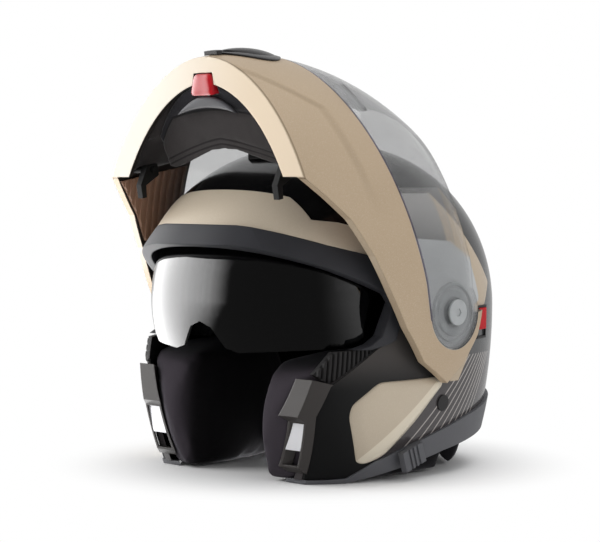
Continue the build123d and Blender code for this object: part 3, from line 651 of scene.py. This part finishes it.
def panel_rings():
    """A cheek panel's rings: places ahead of the pivot and above the ground, and heights off the shell."""
    start, end = slope_line
    corners = [
        Vector((0.0600, 0.0735)), Vector((0.0056, 0.0744)), start, Vector((0.0100, 0.0572)),
        Vector((0.0262, 0.0405)), Vector((0.0500, 0.0180)), end, Vector((0.0690, 0.0150)),
        Vector((0.0799, 0.0490)), Vector((0.0790, 0.0578))]
    middle = Vector((0.040, 0.048))
    way = (end - start).normalized()
    edge_inset = 0.0007
    slope_inset = 0.0085
    slope_reach = 0.006
    slope_end = 0.012
    sink = 0.0004
    shoulder = 0.0016
    face = 0.0030
    outline = rounded(corners, radius=0.005, step=0.003)
    rings = []
    for share, height in ((0, sink), (0.02, shoulder), (1, face)):
        ring = []
        for point in outline:
            step = point - start
            off = abs(step.x * way.y - step.y * way.x)
            wide = max(0.0, 1 - off / slope_reach) * min(1.0, (end - point).length / slope_end)
            inset = (edge_inset + (slope_inset - edge_inset) * wide) * share
            ring.append((point + (middle - point).normalized() * inset, height))
        rings.append(ring)
    for share in (0.25, 0.5, 0.75, 0.92):
        rings.append([(point.lerp(middle, share), height) for point, height in rings[2]])
    return rings


def make_side_panels():
    """A panel on each cheek: flat in the middle, with a wide slope along its rear lower edge."""
    finish = cheek_lacquer()
    placed = [[Vector((shell_reach(pivot_y - point.x, point.y) + height, pivot_y - point.x, point.y))
               for point, height in ring] for ring in panel_rings()]
    for side, name in ((1, "left"), (-1, "right")):
        bm = rings_to_mesh([[Vector((side * p.x, p.y, p.z)) for p in ring] for ring in placed])
        if side * sum(face.normal.x for face in bm.faces) < 0:
            bmesh.ops.reverse_faces(bm, faces=bm.faces)
        made = piece("cheek_panel_" + name, bm, finish, "helmet")
        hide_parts("side_panel_" + name)


hinge = next(joint for joint in frame["joints"] if joint["name"] == "chin_bar_hinge")
pivot_y = hinge["pos_m"][1]
slope_line = Vector((-0.0036, 0.0698)), Vector((0.0622, 0.0137))
shell_faces = BVHTree.FromObject(frame["nodes"]["outer_shell"], bpy.context.evaluated_depsgraph_get())
dress(panel_lacquer("panel_lacquer"), "forehead_band")
make_side_panels()


# Eye port gasket and edge trim
# Extruded black rubber with a soft bloom, pressed over the shell's edges and glued. The trim round the
# neck is moulded deeper at the rear, and carries the sun visor's slider on the left.

def rubber():
    finish = Finish("rubber", {"Specular IOR Level": 0.4})
    bloom = finish.speckle(0.02, 4.0)
    grain = finish.speckle(0.0005, 2.0)
    finish.colour(finish.mixed(bloom * 0.5, tint(46, 46, 50), tint(66, 67, 72)))
    finish.roughness(0.46 + bloom * 0.16)
    finish.relief(0.0022, grain, 0.00006)
    return finish


dress(rubber(), "eye_port_gasket")


# Dark mouldings
# The cheek covers, latch posts, grilles, arm covers, vents and small frames are moulded in black nylon.
# Their faces have a fine spark texture that catches the light softly. The latch hooks and their pins are
# steel, blacked until it is just as matt.

def spark_mould(name, roughness, edge):
    """The face that a spark eroded mould leaves, still without a colour."""
    finish = Finish(name, {"Specular IOR Level": 0.42})
    spark = finish.speckle(0.0004, 3.0)
    patch = finish.speckle(0.03, 3.0)
    finish.bloom = spark * 0.25 + patch * 0.2
    finish.roughness(roughness + patch * 0.1)
    finish.relief(edge, spark, 0.00005)
    return finish


def moulded_black(name, shade, roughness, edge):
    """Nylon in one shade, with a pale bloom."""
    finish = spark_mould(name, roughness, edge)
    finish.colour(finish.mixed(finish.bloom, shade, tint(70, 68, 68)))
    return finish


def cover_nylon():
    """The cheek covers' nylon, black at the foot, with painted light making it greyer further up."""
    finish = spark_mould("cover_nylon", roughness=0.4, edge=0.0008)
    height = finish.axes(finish.place)[2]
    # painted light: the upper part of each cover is painted greyer, as a lit face
    finish.colour(finish.mixed(height.fade(0.066, 0.095), tint(20, 20, 21), tint(66, 62, 60)))
    return finish


def hook_steel():
    """The blacked steel of the latch hooks."""
    finish = spark_mould("hook_steel", roughness=0.6, edge=0.0006)
    finish.colour(finish.mixed(finish.speckle(0.004), tint(10, 10, 10), tint(26, 25, 25)))
    return finish


def arm_nylon():
    """The arm covers' nylon, painted warm brown and paler toward the front for the sand lacquer's reflected
    light.
    """
    finish = spark_mould("arm_nylon", roughness=0.5, edge=0.0006)
    back = finish.axes(finish.place)[1]
    # painted reflection: the sand's warm light on the black nylon, strongest at the front
    finish.colour(finish.mixed(back.fade(-0.085, -0.035), tint(158, 122, 100), tint(52, 42, 36)))
    return finish


gloss_nylon = moulded_black("gloss_nylon", tint(30, 30, 32), roughness=0.16, edge=0.001)
dress(
    moulded_black("satin_nylon", tint(27, 26, 27), roughness=0.42, edge=0.0008),
    "cheek_grille_left", "cheek_grille_right", "lock_surround", "intercom_plug",
    "pivot_plate_left", "pivot_plate_right", "rear_vent", "top_vent", "top_vent_slider")
dress(moulded_black("trim_nylon", tint(98, 99, 104), roughness=0.4, edge=0.0008), "base_trim", "visor_lever")
dress(
    moulded_black("post_nylon", tint(66, 62, 60), roughness=0.34, edge=0.0008),
    "latch_guide_left", "latch_guide_right")
dress(cover_nylon(), "cheek_cover_left", "cheek_cover_right")
dress(hook_steel(), "latch_hook_left", "latch_hook_right", "hook_pins")
dress(arm_nylon(), "arm_cover_left", "arm_cover_right")
dress(gloss_nylon, "chin_vent_slider")


# Striker plates
# Two plates of stainless steel, stamped and polished. Each is pressed into the front of its latch post,
# and the latch hook slides over it as the chin bar shuts.

dress(
    brushed_steel("striker_steel", tint(240, 240, 243), metal=0.35, roughness=0.22, grain=0.004),
    "striker_plate_left", "striker_plate_right")


# Sun visor
# One blown sheet of smoke tinted polycarbonate with a hard coat, darker at its top edge than at the nose.
# It turns on two pins in the shell's sides.

def smoked_sheet():
    finish = Finish("smoked_sheet", {
        "Transmission Weight": 1.0, "IOR": 1.58, "Coat Weight": 0.6, "Coat Roughness": 0.02})
    low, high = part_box("sun_visor")
    depth = finish.axes(finish.place)[2].fade(low.z, high.z)
    finish.colour(finish.mixed(depth, tint(78, 76, 79), tint(26, 26, 28)))
    finish.roughness(0.02 + finish.speckle(0.04, 2.0) * 0.03)
    return finish


dress(smoked_sheet(), "sun_visor")


# Chin bar
# The chin bar and its two arms are one moulding, sprayed in the sand lacquer outside and on the rim,
# and left as dark nylon inside. It turns on the hubs at both temples.

pivot = Vector(hinge["pos_m"])
opening = math.radians(hinge["range_deg"][1])
to_shut = Matrix.Rotation(opening, 3, "X")
to_rest = Matrix.Rotation(-opening, 3, "X")


def shut_place(finish):
    """A point's place from the pivot with the chin bar shut, whatever way it stands."""
    return finish.node("ShaderNodeMapping", {}, {
        "Vector": finish.place, "Rotation": (opening, 0, 0), "Location": -(to_shut @ pivot)})


def rim_up(ahead):
    """How far above the pivot the rim's plane lies at a place ahead."""
    rim_slope = 0.180072
    rim_below_pivot = 0.12840456
    return ahead * rim_slope - rim_below_pivot


def arm_crease(ahead, z):
    """The crease along each arm, which drops round the front: 1 above it and 0 below."""
    height = -0.050
    bend_ahead = 0.160
    drop_slope = 1.05
    end_ahead = 0.092
    end_soft = 0.02
    width = 0.011
    across = z - height + (ahead - bend_ahead).at_least(0.0) * drop_slope
    return across.fade(-width, 0) * ahead.fade(end_ahead - end_soft, end_ahead + end_soft)


def groove_shade(ahead, z):
    """The painted shade in the groove just above the rim."""
    low = 0.0004
    high = 0.0020
    soft = 0.0005
    end_ahead = 0.09
    end_soft = 0.01
    over_rim = z - rim_up(ahead)
    line = over_rim.fade(low, low + soft) * over_rim.fade(high, high - soft)
    return line * ahead.fade(end_ahead, end_ahead + end_soft)


def arm_recess(ahead, z):
    """The grey recess of each arm: a disc at the pivot and a window ahead of it."""
    disc_radius = 0.0275
    length = 0.0702
    low = -0.0283
    high = 0.0602
    soft = 0.0003
    window = ahead.fade(-soft, soft) * ahead.fade(length + soft, length - soft)
    window = window * z.fade(low - soft, low + soft) * z.fade(high + soft, high - soft)
    disc = ((ahead * ahead + z * z) ** 0.5).fade(disc_radius + soft, disc_radius - soft)
    return window.at_least(disc)


def chin_bar_lacquer():
    """The sand lacquer, with painted light making the rim paler and palest at the left, a grey recess in each
    arm and the inside left bare.
    """
    crease_depth = 0.0026
    recess_gloss = 0.6
    finish = sand_lacquer("chin_bar_lacquer", tint(224, 210, 189), tint(198, 176, 148), tint(180, 157, 128))
    x, y, z = finish.axes(shut_place(finish))
    ahead = 0.0 - y
    rim = finish.along(finish.facing(), to_rest @ Vector((0, 0, -1))).fade(0.9, 0.97) * z.fade(-0.06, -0.075)
    inside = finish.inside(pivot)
    recess = arm_recess(ahead, z)
    # painted light: the rim is painted paler than the sand, and palest toward the lit left side
    lit_rim = finish.mixed(x.fade(0.06, -0.07), tint(221, 203, 178), tint(240, 235, 224))
    sand = finish.mixed(rim * 0.85, finish.sand, lit_rim)
    # painted shade: a darker line in the groove above the rim
    sand = finish.mixed(groove_shade(ahead, z) * (1 - rim) * 0.6, sand, tint(112, 94, 72))
    grey = finish.mixed(finish.speckle(0.02, 3.0), tint(206, 208, 209), tint(182, 184, 185))
    sand = finish.mixed(recess, sand, grey)
    finish.colour(finish.mixed(inside, sand, tint(52, 46, 42)))
    finish.roughness(finish.satin * (1 - recess * recess_gloss))
    finish.relief(0.0012, arm_crease(ahead, z) * (1 - rim) + finish.flake * 0.01, crease_depth)
    return finish


dress(chin_bar_lacquer(), "chin_bar_shell")


# Wind curtain
# A double layer of the charcoal cloth, sewn along the rim's inner edge and hemmed at its free edge. It
# closes the space under the chin against draught.

seams_from_free_edge = (0.0045, 0.0085)


def oblong(share, larger=max):
    """How far a rounded oblong reaches ahead, as a share of its length, at a share of its half width."""
    power = 1.85
    return larger(1 - share ** power, 0.0) ** (1 / power)


def rim_seam(across, larger=max):
    """How far ahead the seam beside the rim lies, with its step back behind the release button."""
    rim_half = 0.1185
    rim_reach = 0.186
    margin = 0.008
    step_half = 0.045
    step_back = 0.012
    step = larger(1 - (across / step_half) ** 2, 0.0)
    return rim_reach * oblong(abs(across) / rim_half, larger) - margin - step_back * step


def curtain_free(across):
    """How far ahead the curtain's free edge lies."""
    run = ((0, 0.1351), (0.014, 0.1341), (0.030, 0.1289), (0.045, 0.1244), (0.060, 0.1210), (0.080, 0.1200))
    for (near, start), (far, end) in zip(run, run[1:]):
        if abs(across) <= far:
            return start + (end - start) * (abs(across) - near) / (far - near)
    return run[-1][1]


def sewn(place, normal):
    """Draws the cloth in along its seams."""
    seam_width = 0.0016
    rim_depth = 0.0009
    free_depth = 0.0006
    shut = to_shut @ (place - pivot)
    across, ahead = shut.x, -shut.y
    depth = rim_depth * math.exp(-((ahead - rim_seam(across)) / seam_width) ** 2)
    for off in seams_from_free_edge:
        depth += free_depth * math.exp(-((ahead - curtain_free(across) - off) / seam_width) ** 2)
    return place - normal * depth


def curtain_cloth():
    """The same cloth, with a darker, bluer band beside the rim and the shadows of its seams."""
    free_middle = 0.1351
    free_drop = 0.0141
    free_half = 0.06
    finish = felt("curtain_cloth")
    x, y = finish.axes(shut_place(finish))[:2]
    ahead = 0.0 - y
    from_rim = ahead - rim_seam(x, Value.at_least)
    from_free = ahead - (free_middle - (abs(x) / free_half) ** 1.3 * free_drop)
    shadow = abs(from_rim).fade(0.0013, 0.0004)
    for off in seams_from_free_edge:
        shadow = shadow + abs(from_free - off).fade(0.0010, 0.0003)
    band = from_rim.fade(-0.0004, 0.0004)
    cloth = finish.mixed(band * 0.7, finish.cloth, tint(30, 31, 38))
    finish.colour(finish.mixed(shadow.at_most(1.0) * 0.75, cloth, tint(18, 17, 18)))
    return finish


curtain = stuffed(
    "chin_curtain_cover", "chin_curtain", "chin_bar", curtain_cloth(),
    grid=0.0013, margin=0.0002, cap=0.0003)
sculpt(curtain, sewn)


# Curtain lip
# A crescent moulded in dark grey nylon, thick in the middle and thin at both tips. It is clipped over the
# curtain's front edge, just inside the release button.

def shut_point(across, ahead, up):
    """The place at rest of a point of the shut chin bar, measured from the pivot."""
    return pivot + to_rest @ Vector((across, -ahead, up))


def make_lip():
    """One section, carried along the crescent from tip to tip."""
    steps = 24
    half = 0.031
    front = 0.1764
    droop = 0.0125
    middle_width = 0.0082
    tip_width = 0.0004
    section = (
        (0, -0.0925), (0, -0.0945), (0.06, -0.0954), (0.3, -0.0960),
        (0.7, -0.0960), (0.94, -0.0954), (1, -0.0945), (1, -0.0915))
    finish = moulded_black("lip_grey", tint(84, 84, 88), roughness=0.36, edge=0.0006)
    rows = []
    bm = bmesh.new()
    for number in range(steps + 1):
        share = 2 * number / steps - 1
        ahead = front - droop * share ** 2
        width = middle_width * (1 - share ** 2) + tip_width
        places = [shut_point(half * share, ahead - width * part, up) for part, up in section]
        rows.append([bm.verts.new(place) for place in places])
    for low, high in zip(rows, rows[1:]):
        for column in range(len(section) - 1):
            bm.faces.new((low[column], low[column + 1], high[column + 1], high[column]))
        bm.faces.new((low[-1], low[0], high[0], high[-1]))
    bm.faces.new(rows[0])
    bm.faces.new(rows[-1])
    bmesh.ops.recalc_face_normals(bm, faces=bm.faces)
    piece("curtain_lip", bm, finish, "chin_bar")


make_lip()


# Release button and lock slider
# Both are moulded in see-through red acrylic, so that a rider finds them at once: the button polished, the
# slider with a matt skin. The button stands on a spring in the rim, and the slider runs in its frame on the
# left side.

def red_acrylic(name, gloss):
    """See-through red, from matt at 0 to polished at 1."""
    finish = Finish(name, {
        "Roughness": 0.5 - gloss * 0.38, "Specular IOR Level": gloss * 0.6, "Subsurface Weight": 0.25,
        "Subsurface Scale": 0.003, "Subsurface Radius": (1.0, 0.2, 0.15), "Coat Weight": gloss * 0.5,
        "Coat Roughness": 0.04})
    depth = finish.speckle(0.006, 2.0)
    finish.colour(finish.mixed(depth, tint(206, 34, 44), tint(176, 18, 28)))
    finish.relief(0.0012)
    return finish


def make_button():
    """The button: a slab with rounded corners and a softly crowned face."""
    corners = ((-0.0094, 0.1928), (0.0094, 0.1928), (0.0128, 0.1772), (-0.0128, 0.1772))
    middle = Vector((0, 0.185))
    outline = rounded([Vector(pair) for pair in corners], radius=0.0042, step=0.0012)
    rings = []
    for inset, off in ((0, 0.006), (0, -0.0002), (0.0004, -0.0008), (0.0012, -0.0012), (0.005, -0.0015)):
        ring = []
        for point in outline:
            moved = point + (middle - point).normalized() * inset
            ring.append(shut_point(moved.x, moved.y, rim_up(moved.y) + off))
        rings.append(ring)
    finish = red_acrylic("button_red", gloss=1.0)
    made = piece("button_cap", rings_to_mesh(rings), finish, "release_button")
    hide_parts("release_button")


dress(red_acrylic("lock_red", gloss=0.15), "lock_slider")
make_button()


# Chin vent
# Two thin shells of gloss black nylon: a plate round the air slot and a leaf shaped hood over it, open
# toward the rim, with a small slider at its tip.

def chin_face(across, up, proud):
    """A point on the chin bar's outer face, or proud of it."""
    half = 0.1375 + proud
    reach = 0.205 + proud
    widest_below_pivot = 0.091
    above = 0.222
    below = 0.250
    taper = oblong(abs(across / half))
    height = up + widest_below_pivot * taper
    tall = (above if height > 0 else below) + proud
    return shut_point(across, reach * taper * (1 - (height / (tall * taper)) ** 2) ** 0.5, up)


def leaf(name, low, high, half, rise, slot):
    """One shell of the vent, pointed at both ends, that swells from the chin bar's face."""
    long_cells = 28
    wide_cells = 16
    thickness = 0.0012
    tip = 0.16
    gap = 0.0006
    bow = 0.004
    slot_rows = range(10, 16)
    slot_columns = range(3, 13)
    bm = bmesh.new()
    rows = []
    for number in range(long_cells + 1):
        share = number / long_cells
        spread = half * (tip + (1 - tip) * math.sin(math.pi * (0.08 + share * 0.84)) ** 0.8)
        row = []
        for column in range(wide_cells + 1):
            side = 2 * column / wide_cells - 1
            lift = (1 - abs(side) ** 3) * math.sin(math.pi * (0.12 + share * 0.8)) ** 0.6
            up = low + (high - low) * share - bow * (1 - side * side)
            row.append(bm.verts.new(chin_face(side * spread, up, gap + rise * lift)))
        rows.append(row)
    for number, (low_row, high_row) in enumerate(zip(rows, rows[1:])):
        for column in range(wide_cells):
            if slot and number in slot_rows and column in slot_columns:
                continue
            bm.faces.new((low_row[column], low_row[column + 1], high_row[column + 1], high_row[column]))
    bmesh.ops.recalc_face_normals(bm, faces=bm.faces)
    made = piece(name, bm, gloss_nylon, "chin_bar")
    walled(made, thickness)
    return made


plate = leaf("vent_plate", low=-0.074, high=-0.028, half=0.031, rise=0.0010, slot=True)
leaf("vent_hood", low=-0.067, high=-0.029, half=0.024, rise=0.0033, slot=False)
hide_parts("chin_vent")


# Face shield
# One moulded sheet of clear polycarbonate, 2.6 mm thick, with a round pod over each pivot and a lift tab.
# Its cut edge is painted dark violet for the light reflected inside the sheet, and a grey detent plate shows
# through each pod.

def clear_sheet():
    lower_edge = -0.0273
    edge_height = 0.0016
    sheet_alpha = 0.55
    shadow_lost = 0.85
    finish = Finish("clear_sheet", {
        "Transmission Weight": 1.0, "IOR": 1.5, "Roughness": 0.0, "Coat Weight": 0.3, "Coat Roughness": 0.01})
    z = finish.axes(shut_place(finish))[2]
    edge = (z - lower_edge).fade(edge_height, edge_height / 2)
    shadow = finish.node("ShaderNodeLightPath", out="Is Shadow Ray")
    # painted reflection: the dark violet band along the lower edge stands for light reflected inside the
    # sheet
    finish.colour(finish.mixed(edge, tint(250, 251, 252), tint(96, 84, 110)))
    alpha = sheet_alpha + edge * (1 - sheet_alpha)
    finish.feed(finish.shader, {"Alpha": alpha * (1 - shadow * shadow_lost)})
    return finish


def detent_grey():
    finish = Finish("detent_grey", {"Roughness": 0.35, "Specular IOR Level": 0.5})
    cloud = finish.speckle(0.01, 2.0)
    finish.colour(finish.mixed(cloud, tint(186, 189, 190), tint(160, 163, 165)))
    finish.relief(0.0006)
    return finish


dress(clear_sheet(), "face_shield", "shield_tab")
dress(detent_grey(), "shield_ratchet_left", "shield_ratchet_right", "pivot_screws", "pivot_hubs")


# Table, lamps and camera
# The helmet stands on a plain white table in a white room, under three soft lamps. The camera stands at
# its left front, just above the ground.

def seen_rays(nodes):
    """1 for what is seen straight or through glass."""
    straight = nodes.node("ShaderNodeLightPath", out="Is Camera Ray")
    through = nodes.node("ShaderNodeLightPath", out="Is Transmission Ray")
    return (straight + through).at_most(1.0)


def room_mirrored(nodes, way):
    """How bright the room looks in a polished face: dark in front, with a glow at the helmet's right."""
    front = 0.08
    back = 0.5
    glow = 4.0
    glow_way = Vector((-0.955, -0.28, 0.05)).normalized()
    toward = nodes.along(way, glow_way).fade(0.72, 1.0)
    return nodes.axes(way)[1].fade(-0.6, 0.15) * back + front + toward * glow


def make_table():
    """The table: lit near the helmet, white further off, and as bright as the room where it is mirrored."""
    half_size = 4.0
    below_ground = 0.0003
    shade_start = 0.10
    shade_end = 0.21
    bm = bmesh.new()
    bmesh.ops.create_grid(bm, x_segments=8, y_segments=8, size=half_size)
    bmesh.ops.translate(bm, vec=(0, 0, -below_ground), verts=bm.verts)
    mesh = bpy.data.meshes.new("table")
    bm.to_mesh(mesh)
    bm.free()
    table = bpy.data.objects.new("table", mesh)
    bpy.context.scene.collection.objects.link(table)
    finish = Finish("table_white", {
        "Base Color": tint(250, 250, 250), "Roughness": 0.8, "Specular IOR Level": 0.1})
    distance = finish.node("ShaderNodeVectorMath", {"operation": "LENGTH"}, {0: finish.place}, out="Value")
    way = finish.node("ShaderNodeVectorMath", {"operation": "NORMALIZE"}, {0: finish.place})
    mirrored = finish.node("ShaderNodeLightPath", out="Is Glossy Ray")
    shown = finish.mixed(mirrored, tint(255, 255, 255), room_mirrored(finish, way))
    plain = finish.node("ShaderNodeEmission", {}, {"Color": shown, "Strength": 1.0})
    lit = Value(finish, finish.shader.outputs[0])
    fresh = (seen_rays(finish) * distance.fade(shade_start, shade_end)).at_least(mirrored)
    mixed = finish.node("ShaderNodeMixShader", {}, {0: fresh, 1: lit, 2: plain})
    finish.feed(finish.tree.nodes["Material Output"], {0: mixed})
    mesh.materials.append(finish.material)


def make_sky():
    """A white room: full white where it is seen, softer as a light, and darker in front in a mirror."""
    light = 0.5
    world = bpy.data.worlds.new("room")
    bpy.context.scene.world = world
    world.use_nodes = True
    room = Nodes(world.node_tree)
    plain = seen_rays(room) * (1 - light) + light
    mirrored = room_mirrored(room, room.node("ShaderNodeTexCoord", out="Object"))
    glossy = room.node("ShaderNodeLightPath", out="Is Glossy Ray")
    strength = room.node("ShaderNodeMix", {}, {0: glossy, 2: plain, 3: mirrored})
    room.feed(room.tree.nodes["Background"], {"Color": (1, 1, 1, 1), "Strength": strength})


def softbox(name, place, size, watts):
    """A square lamp behind a diffuser, aimed at the helmet."""
    lamp = bpy.data.lights.new(name, "AREA")
    lamp.energy = watts
    lamp.size = size
    made = bpy.data.objects.new(name, lamp)
    bpy.context.scene.collection.objects.link(made)
    made.location = place
    made.visible_glossy = False
    middle = (model_box[0] + model_box[1]) / 2
    made.rotation_euler = (middle - Vector(place)).to_track_quat("-Z", "Y").to_euler()


def make_camera():
    lens = 118.14
    sensor = 36
    distance = 1.522
    azimuth = math.radians(45)
    elevation = math.radians(2.7)
    aim = Vector((-0.0076, -0.0121, 0.148))
    level = Vector((math.sin(azimuth), -math.cos(azimuth), 0))
    back = level * math.cos(elevation) + Vector((0, 0, math.sin(elevation)))
    lens_data = bpy.data.cameras.new("camera")
    lens_data.lens = lens
    lens_data.sensor_width = sensor
    camera = bpy.data.objects.new("camera", lens_data)
    bpy.context.scene.collection.objects.link(camera)
    camera.location = aim + back * distance
    camera.rotation_euler = (-back).to_track_quat("-Z", "Y").to_euler()
    bpy.context.scene.camera = camera


make_table()
make_sky()
softbox("lamp_left", place=(-1.5, -1.3, 1.4), size=1.3, watts=26)
softbox("lamp_right", place=(1.9, -0.2, 0.9), size=1.0, watts=5)
softbox("lamp_top", place=(0.3, 0.7, 2.0), size=1.2, watts=13)
make_camera()
bpy.context.scene.view_settings.view_transform = "Standard"
